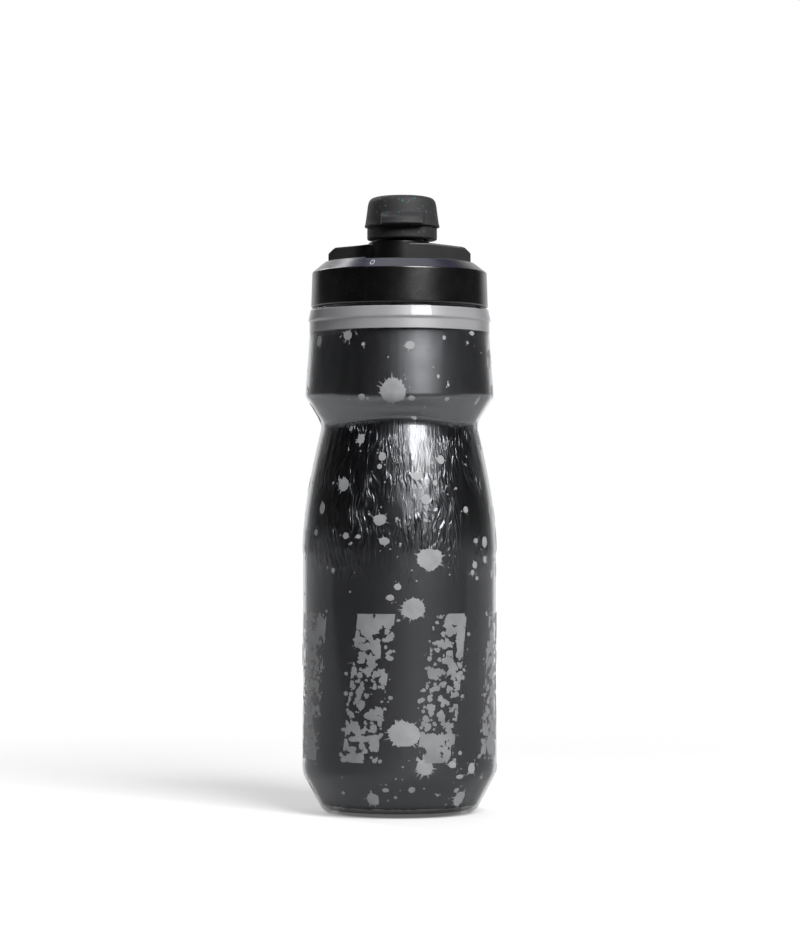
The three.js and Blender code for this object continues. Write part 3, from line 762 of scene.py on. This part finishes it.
def make_lid():
    """The lid's section carried round, 0.4 mm higher at the rim in two sectors that face each
    other. Each sector's front edge is cut straight, x = -12.6: columns near it turn by
    asin(12.6/31) - asin(12.6/r), and less further off."""
    edges = []
    for turn in (0.0, math.pi):
        for edge in (RIM_STEP_FRONT, RIM_STEP_SIDE):
            edges += [edge + turn - 0.0022, edge + turn + 0.0022]
    edges = (np.array(edges) + math.pi) % TAU - math.pi
    angles = np.unique(np.concatenate([around(220), edges]))
    section = soft_corners(
        [(8.3, 205.0, 0.1), (11.1, 205.0, 0.1), (11.1, 202.6, 0.3), (12.3, 202.6, 0.3),
         (12.3, 205.0, 0.4), (26.0, 205.0, 0.4), (26.0, 201.5, 0.2), (26.4, 201.0, 0.2),
         (27.2, 201.5, 0.2), (27.2, 205.0, 0.2), (31.3, 205.0, 0.4), (31.3, 192.1, 0.3),
         (33.74, 192.1, 0.62), (33.3, 205.4, 0.32), (28.55, 209.05, 0.30), (27.8, 209.05, 0.25),
         (27.8, 207.5, 0.3), (8.3, 207.5, 0.1)], steps=6)
    section = resampled(np.vstack([section, section[:1]]), 3.0)[:-1]
    r, z = section[:, 0][None], section[:, 1][None]
    turn = ((angles + math.pi / 2) % math.pi) - math.pi / 2
    high = ((turn > RIM_STEP_SIDE) & (turn < RIM_STEP_FRONT)).astype(float)[:, None]
    outside = (r > 27.6) & (z > 204.9)
    climb = np.clip((z - 205.4) / 3.5, 0, 1)
    lift = high * np.where(outside, 0.12 + 0.30 * climb, 0.0)
    near = np.clip(1 - np.abs(turn - RIM_STEP_FRONT) / 0.22, 0, 1)[:, None]
    straight = -np.arcsin(RIM_STEP_X / np.maximum(r, 26.0)) - RIM_STEP_FRONT
    a = angles[:, None] + near * straight
    pushed = r + high * np.where((r > 31.6) & (z > 192.0), 0.06, 0.0)
    points = np.stack([pushed * np.sin(a), -pushed * np.cos(a), z + lift], -1)
    ridge = thread(31.45, 30.05, 2.0, 0.8, -math.pi / 2, 195.2, THREAD_TURNS)
    pegs = []
    for angle in (math.atan2(3.5, 25), -math.radians(110 + 14.5)):
        peg = soft_corners([(0, 207.2), (0.9, 207.2), (0.9, 209.0, 0.25), (0, 209.0)], closed=False)
        pin = turned_about(peg, around(24))
        pin[..., 0] += 25 * math.cos(angle)
        pin[..., 1] += 25 * math.sin(angle)
        pegs.append((pin, True, False))
    return piece("gloss_lid", [(points, True, True), (ridge, False, True), *pegs], LID_GLOSS, "lid",
                 ("lid_cap",), sharp=32)


def make_lid_mark():
    """A small open ring printed on the lid's slope beside the raised rim, a generic mark."""
    turn = around(40)[:, None]
    size = np.array([0.68, 1.0, 1.0, 0.68])[None]
    lift = np.array([0.03, 0.03, -0.05, -0.05])[None]
    angle = math.radians(-19.0) + 0.85 * size * np.cos(turn) / 31.0
    slope_at = 0.5 + 0.27 * size * np.sin(turn)
    r = 33.3 + (28.55 - 33.3) * slope_at + lift
    z = 205.4 + (209.05 - 205.4) * slope_at + lift
    ring = np.stack([r * np.sin(angle), -r * np.cos(angle), z], -1)
    return piece("lid_ring_mark", [(ring, True, True)], MARK_PAINT, "lid")


# ---- The dial ----
def dial_outline():
    """Half of the dial's plan as a radius over an angle from +X: the long front face is straight
    and tangent to the column, the tip is square, and the back runs into the column by an arc of
    8 mm."""
    slant = math.asin(0.3)
    touch = slant - math.pi / 2
    tip_low = math.atan2(-3.85, 27.1)
    tip_high = math.atan2(2.0, 27.1)
    fillet_y = 10.0
    fillet_x = math.sqrt((DIAL_R + 8) ** 2 - fillet_y**2)
    joins = math.atan2(fillet_y, fillet_x)
    leaves = math.atan2(2.0, fillet_x)
    angle = np.unique(np.concatenate([
        np.linspace(touch, tip_low, 40), np.linspace(tip_low, tip_high, 26),
        np.linspace(tip_high, leaves, 30), np.linspace(leaves, joins, 26),
        np.linspace(joins, touch + math.pi, 44)]))
    front = DIAL_R / np.cos(angle - touch)
    tip = 27.1 / np.cos(angle)
    back = 2.0 / np.maximum(np.sin(angle), 1e-6)
    along = fillet_x * np.cos(angle) + fillet_y * np.sin(angle)
    inside = np.maximum(along**2 - (fillet_x**2 + fillet_y**2 - 64), 0)
    arc = along - np.sqrt(inside)
    column = np.full_like(angle, DIAL_R - 0.12)
    radius = np.where(angle <= tip_low, front, np.where(
        angle <= tip_high, tip, np.where(angle <= leaves, back, np.where(
            angle < joins, arc, column))))
    return angle[:-1], np.maximum(radius, DIAL_R - 0.12)[:-1]


def wing_height(x):
    """The wings' top: it falls slowly from the column to the tips, whose corners are cut off."""
    out = np.abs(x)
    slow = 216.35 - 1.2 * np.clip((out - DIAL_R) / 13.0, 0, 1)
    cut = 215.1 - (out - 24.75) * 0.98
    soft = 0.18
    return -soft * np.log(np.exp(-slow / soft + 1150) + np.exp(-cut / soft + 1150)) + 1150 * soft


def make_dial():
    """Column and bores turned about Z, and the wings as rings inside their outline: up the side,
    over a small round edge, then in to the column under the wings' top."""
    angle, radius = dial_outline()
    angle = np.concatenate([angle, angle + math.pi])
    radius = np.concatenate([radius, radius])
    x, y = radius * np.cos(angle), radius * np.sin(angle)
    edge = 0.45
    rings = []
    bottom = np.full_like(x, 207.95)
    top = wing_height(x)
    ahead, behind = np.roll(np.stack([x, y]), -1, 1), np.roll(np.stack([x, y]), 1, 1)
    run = ahead - behind
    run = run / np.maximum(np.hypot(*run), 1e-9)
    normal_in = np.stack([-run[1], run[0]])
    rings.append(np.stack([x * 0, y * 0, bottom], -1))
    rings.append(np.stack([x * 0.6, y * 0.6, bottom], -1))
    rings.append(np.stack([x, y, bottom], -1))
    for share in (0.35, 0.7, 0.93):
        rings.append(np.stack([x, y, bottom + (top - edge - bottom) * share], -1))
    for quarter in np.linspace(0, math.pi / 2, 6):
        inward = edge * (1 - math.cos(quarter))
        px, py = x + normal_in[0] * inward, y + normal_in[1] * inward
        rings.append(np.stack([px, py, wing_height(px) - edge * (1 - math.sin(quarter))], -1))
    for share in (0.985, 0.95, 0.9, 0.84, 0.78, 0.7, 0.6, 0.5, 0.4):
        reach = np.maximum(radius * share, 0.4 * DIAL_R) / radius
        px, py = (x + normal_in[0] * edge) * reach, (y + normal_in[1] * edge) * reach
        rings.append(np.stack([px, py, wing_height(px)], -1))
    rings.append(np.stack([x * 0, y * 0, np.full_like(x, 216.3)], -1))
    wings = np.stack(rings, axis=1)
    column = soft_corners(
        [(5.0, 195.6, 0.3), (8.0, 195.6, 0.4), (8.0, 202.8, 0.2), (7.0, 202.8), (7.0, 204.2),
         (8.0, 204.2, 0.2), (8.0, 205.4, 0.1), (6.6, 205.4), (6.6, 207.0), (8.0, 207.0, 0.1),
         (8.0, 207.9, 0.1), (DIAL_R, 207.9, 0.2), (DIAL_R, 217.1, 0.35), (9.4, 217.1, 0.2),
         (9.4, 222.4, 0.3), (7.2, 222.4, 0.2), (7.2, 227.4, 0.3), (5.0, 227.4, 0.3)])
    turned = turned_about(resampled(np.vstack([column, column[:1]]), 5.0)[:-1], around(128))
    return piece("winged_lock_dial", [(wings, True, False), (turned, True, True)], DIAL_SATIN, "dial",
                 ("lock_dial",), sharp=40)


# ---- The nozzle and its cap ----
def make_nozzle_sleeve():
    profile = soft_corners(
        [(7.5, 222.8, 0.2), (9.2, 222.8, 0.3), (9.0, 224.0, 0.5), (8.5, 226.0, 1.2),
         (8.8, 228.5, 1.0), (9.0, 229.9, 0.6), (8.6, 231.0, 0.6), (7.6, 231.6, 0.5),
         (5.9, 231.6, 0.3), (5.7, 231.3, 0.1), (5.7, 230.1, 0.2), (7.5, 230.1, 0.1)])
    return piece("soft_nozzle_sleeve", [(turned_about(profile, around(96)), True, True)], SILICONE,
                 "dial", ("nozzle_sleeve",))


def make_jet_valve():
    """The valve's dome, dipped along a cross where its slits close: a groove of 0.28 mm whose
    section is a Gaussian of the distance to the X or the Y axis."""
    radii = np.concatenate([[0], np.linspace(0.12, 2.9, 24), [3.4, 4.0, 4.5, 5.0, 5.4]])
    top = np.interp(radii, [0, 2.2, 4.4, 5.4], [232.0, 231.9, 231.6, 230.9])
    rim = np.array([(5.4, 229.9), (7.1, 229.8), (7.1, 228.8), (4.5, 228.8), (4.5, 230.4),
                    (4.0, 230.9), (0.0, 231.2)])
    profile = np.vstack([np.stack([radii, top], 1), rim])[::-1]
    points = turned_about(profile, around(144))
    x, y, z = points[..., 0], points[..., 1], points[..., 2]
    near = np.minimum(np.abs(x), np.abs(y))
    within = np.clip((2.9 - np.hypot(x, y)) / 0.4, 0, 1)
    dip = 0.28 * np.exp(-((near / 0.11) ** 2)) * within
    points[..., 2] = np.where(z > 231.3, z - dip, z)
    return piece("slit_jet_valve", [(points, True, False)], SILICONE, "dial",
                 ("jet_valve",))


def make_collar():
    """The collar's section carried round, scooped at the front under the thumb tab."""
    section = soft_corners(
        [(10.4, 218.1, 0.2), (13.0, 218.1, 0.15), (13.33, 218.5, 0.2), (13.33, 222.6, 0.35),
         (12.45, 222.6, 0.1), (12.4, 224.3, 0.2), (12.1, 224.6, 0.2), (10.4, 224.6, 0.2)], steps=6)
    section = resampled(np.vstack([section, section[:1]]), 0.6)[:-1]
    angles = around(160)
    r, z = section[:, 0][None], section[:, 1][None]
    a = angles[:, None]
    scoop = np.exp(-((a / math.radians(34)) ** 4)) * np.clip((z - 219.4) / 3.0, 0, 1) ** 1.5
    r = r - np.where(r > 12.6, 1.0 * scoop, 0)
    points = np.stack([r * np.sin(a) + CAP_X, -r * np.cos(a), z + 0 * a], -1)
    return piece("speckled_collar", [(points, True, True)], SPECKLED, "dial",
                 ("mud_cap_collar",), sharp=40)


def make_cap():
    """The cap's section carried round, with the thumb tab as a bulge of the radius at the front: a
    plateau of the distance across, full from its foot, that slopes back above."""
    section = soft_corners(
        [(12.8, 223.0, 0.2), (14.32, 223.0, 0.25), (14.28, 223.6, 0.2), (14.02, 224.4, 0.5),
         (13.66, 226.9, 1.2), (13.1, 231.2, 1.5), (12.8, 232.6, 1.0), (11.9, 233.9, 1.1),
         (9.8, 234.55, 1.0), (5.0, 234.78, 1.5), (0.0, 234.82), (0.0, 233.2), (10.3, 233.2, 0.3),
         (10.3, 231.0, 0.2), (11.1, 231.0, 0.2), (11.1, 232.6, 0.2), (11.6, 231.4, 0.3)], steps=6)
    section = np.vstack([section, section[:1]])
    section = resampled(section, 0.3)[:-1]
    start = int(np.argmin(np.hypot(section[:, 0], section[:, 1] - 233.2)))
    section = np.roll(section, -start, axis=0)
    last = int(np.argmin(np.hypot(section[:, 0], section[:, 1] - 234.82)))
    section = section[:last + 1]
    angles = np.unique(np.concatenate([around(140), np.linspace(-0.8, 0.8, 150)]))
    r, z = section[:, 0][None], section[:, 1][None]
    a = angles[:, None]
    across = r * np.sin(a) - 0.1
    plateau = np.clip((8.5 - np.abs(across)) / 0.9, 0, 1)
    plateau = plateau * plateau * (3 - 2 * plateau) * (np.cos(a) > 0)
    reach = np.interp(z, [222.9, 223.02, 223.35, 225.4, 226.1, 226.7, 227.9],
                      [3.0, 3.1, 3.3, 3.1, 2.5, 1.5, 0.0])
    sway = 1 - 0.05 * (across / 8.9) ** 2
    outside = (r > 12.9) & (z < 230.5)
    bulge = np.where(outside, reach * plateau * sway, 0.0)
    y = -r * np.cos(a) - bulge
    x = r * np.sin(a) + CAP_X
    points = np.stack([x, y, z + 0 * a], -1)
    return piece("speckled_mud_cap", [(points, True, False)], SPECKLED, "cap",
                 ("mud_cap",), sharp=38)


def make_strap():
    """A strip 9 mm wide swept along a C-shaped path behind the nozzle, from the collar to the
    cap."""
    path = np.array([(12.6, 219.6), (14.6, 219.7), (16.4, 220.1), (17.3, 221.3), (17.62, 223.0),
                     (17.3, 224.7), (16.4, 225.9), (14.8, 226.3), (12.9, 226.4)])
    t = np.linspace(0, len(path) - 1, 61)
    line = np.stack([np.interp(t, np.arange(len(path)), path[:, k]) for k in (0, 1)], 1)
    for _ in range(12):
        line[1:-1] = 0.25 * line[:-2] + 0.5 * line[1:-1] + 0.25 * line[2:]
    run = np.gradient(line, axis=0)
    run /= np.linalg.norm(run, axis=1, keepdims=True)
    side = np.stack([run[:, 1], -run[:, 0]], 1)
    along = np.linspace(0, 1, len(line))
    thin = 0.5 - 0.16 * np.exp(-(((along - 0.5) / 0.09) ** 2))
    corner = np.linspace(0, TAU, 33)[:-1]
    wide = np.sign(np.cos(corner)) * np.abs(np.cos(corner)) ** 0.3 * 4.5
    deep = np.sign(np.sin(corner)) * np.abs(np.sin(corner)) ** 0.5
    y = line[:, 0][:, None] + side[:, 0][:, None] * deep[None] * thin[:, None]
    z = line[:, 1][:, None] + side[:, 1][:, None] * deep[None] * thin[:, None]
    x = CAP_X + np.broadcast_to(wide[None], y.shape)
    points = np.stack([x, y, z], -1)
    ends = [np.repeat(points[k:k + 1].mean(axis=1, keepdims=True), points.shape[1], 1)
            for k in (0, -1)]
    points = np.concatenate([ends[0], points, ends[1]], axis=0)
    obj = piece("speckled_strap", [(points, False, True)], SPECKLED, None,
                ("mud_cap_strap",), sharp=60)
    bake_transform(obj)
    return obj


# ---- Build ----
make_outer_wall()
make_film("crinkled_film_sleeve", 3.5, 147.55, 0.62, 300, 1.0, 3, FILM, ("reflective_film",), 0.7)
make_film("smooth_band_film", 147.7, 182.45, 0.8, 240, 0.10, 5, BAND, ("insulation_collar",))
make_neck_ring()
make_inner_bottle()
make_base_pad()
for ink_piece in (make_splash_print(), make_block_print()):
    ink_piece.visible_shadow = False  # the film behind shows no dark copies of the print
    ink_piece.visible_glossy = False
make_lid()
make_lid_mark()
make_dial()
make_nozzle_sleeve()
make_jet_valve()
make_collar()
make_cap()
make_strap()

for name, material in (
    ("foam_sleeve", FOAM), ("lid_seal", SILICONE), ("valve_housing", DIAL_SATIN),
    ("port_seal", SILICONE), ("dial_o_ring", SILICONE), ("dial_clip", CLIP_PLASTIC),
    ("valve_retainer", DIAL_SATIN),
):
    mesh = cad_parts[name].data
    mesh.materials.clear()
    mesh.materials.append(material)


# ---- Floor, backdrop and lights ----
def floor_material():
    """White studio floor that brightens away from the object, so that it runs into the backdrop. In
    front it ends in the dark, nearer for what the object mirrors than for the eye."""
    tree = new_tree("studio_floor")
    away = tree.node("VectorMath", operation="LENGTH", Vector=tree.place()).outputs["Value"]
    glow = tree.eased(away, 0.25, 1.3, 0.385, 1.0)
    nearer = tree.maths("MULTIPLY", tree.node("LightPath").outputs["Is Glossy Ray"], 0.30)
    lit = tree.eased(tree.maths("SUBTRACT", tree.split(tree.place(), "Y"), nearer), -0.80, -0.45)
    tree.shader(Roughness=0.75, Base_Color=tree.mixed(lit, (0.02, 0.02, 0.02), (0.34, 0.34, 0.34)),
                Emission_Color=(1, 1, 1), Emission_Strength=tree.maths("MULTIPLY", glow, lit))
    return tree.owner


def make_floor():
    rings = np.array([0, 0.1, 0.3, 0.7, 1.5, 3.0, 6.0, 14.0]) / MM
    grid = turned_about(np.stack([rings[::-1], rings * 0], 1), around(64))
    obj = piece("studio_floor", [(grid, True, False)], floor_material(), None)


def make_world():
    """Backdrop white to the eye. What the object mirrors is a bright wall behind it, a cool
    overhead and a dark front. What lights it is neutral."""
    tree = Tree(bpy.data.worlds.new("studio"))
    bpy.context.scene.world = tree.owner
    way = tree.node("TexCoord").outputs["Generated"]
    path = tree.node("LightPath").outputs
    behind, overhead = (tree.eased(tree.split(way, axis), low, 0.90)
                        for axis, low in (("Y", 0.62), ("Z", 0.50)))
    cool = tree.mixed(path["Is Glossy Ray"], (0.5, 0.5, 0.5), (0.22, 0.22, 0.46))
    tone = tree.mixed(overhead, (0.010, 0.010, 0.010), cool)
    tone = tree.mixed(behind, tone, (1.0, 1.0, 1.0))
    dome, plain = (tree.node("Background", Color=colour).outputs[0] for colour in (tone, (1, 1, 1)))
    tree.node("OutputWorld", Surface=tree.wired("MixShader", path["Is Camera Ray"], dome, plain))


def make_softbox(name, azimuth, elevation, distance, width, height, radiance, aim=0.11):
    """A rectangular lamp at an angle from the front, in degrees, that faces the bottle. Its power
    gives it the radiance asked for: power = radiance * pi * area."""
    lamp = bpy.data.lights.new(name, "AREA")
    lamp.shape = "RECTANGLE"
    lamp.size, lamp.size_y = width, height
    lamp.energy = radiance * math.pi * width * height
    obj = bpy.data.objects.new(name, lamp)
    bpy.context.scene.collection.objects.link(obj)
    a, e = math.radians(azimuth), math.radians(elevation)
    away = np.array([math.sin(a) * math.cos(e), -math.cos(a) * math.cos(e), math.sin(e)])
    obj.location = away * distance + np.array([0, 0, aim])
    obj.rotation_euler = Vector(away).to_track_quat("Z", "Y").to_euler()


make_floor()
make_world()
make_softbox("key_softbox", 29.0, 41, 1.5, 0.66, 1.05, 25.0)
make_softbox("left_back_strip", -140, 38, 1.5, 0.24, 0.8, 12.0)
make_softbox("overhead_panel", 175, 78, 1.4, 0.8, 0.8, 1.2)


def make_camera():
    """Eye 107 mm above the floor and 1180 mm from the axis, looking up by one degree."""
    camera = bpy.data.cameras.new("camera")
    camera.sensor_width = 36.0
    camera.lens = 117.2
    camera.clip_start, camera.clip_end = 0.05, 60
    obj = bpy.data.objects.new("camera", camera)
    bpy.context.scene.collection.objects.link(obj)
    obj.location = (0.0002, -1.180, 0.107)
    obj.rotation_euler = (math.radians(90 + 1.04), 0, 0)
    bpy.context.scene.camera = obj


make_camera()
bpy.context.scene.view_settings.view_transform = "Standard"
bpy.context.scene.view_settings.look = "None"
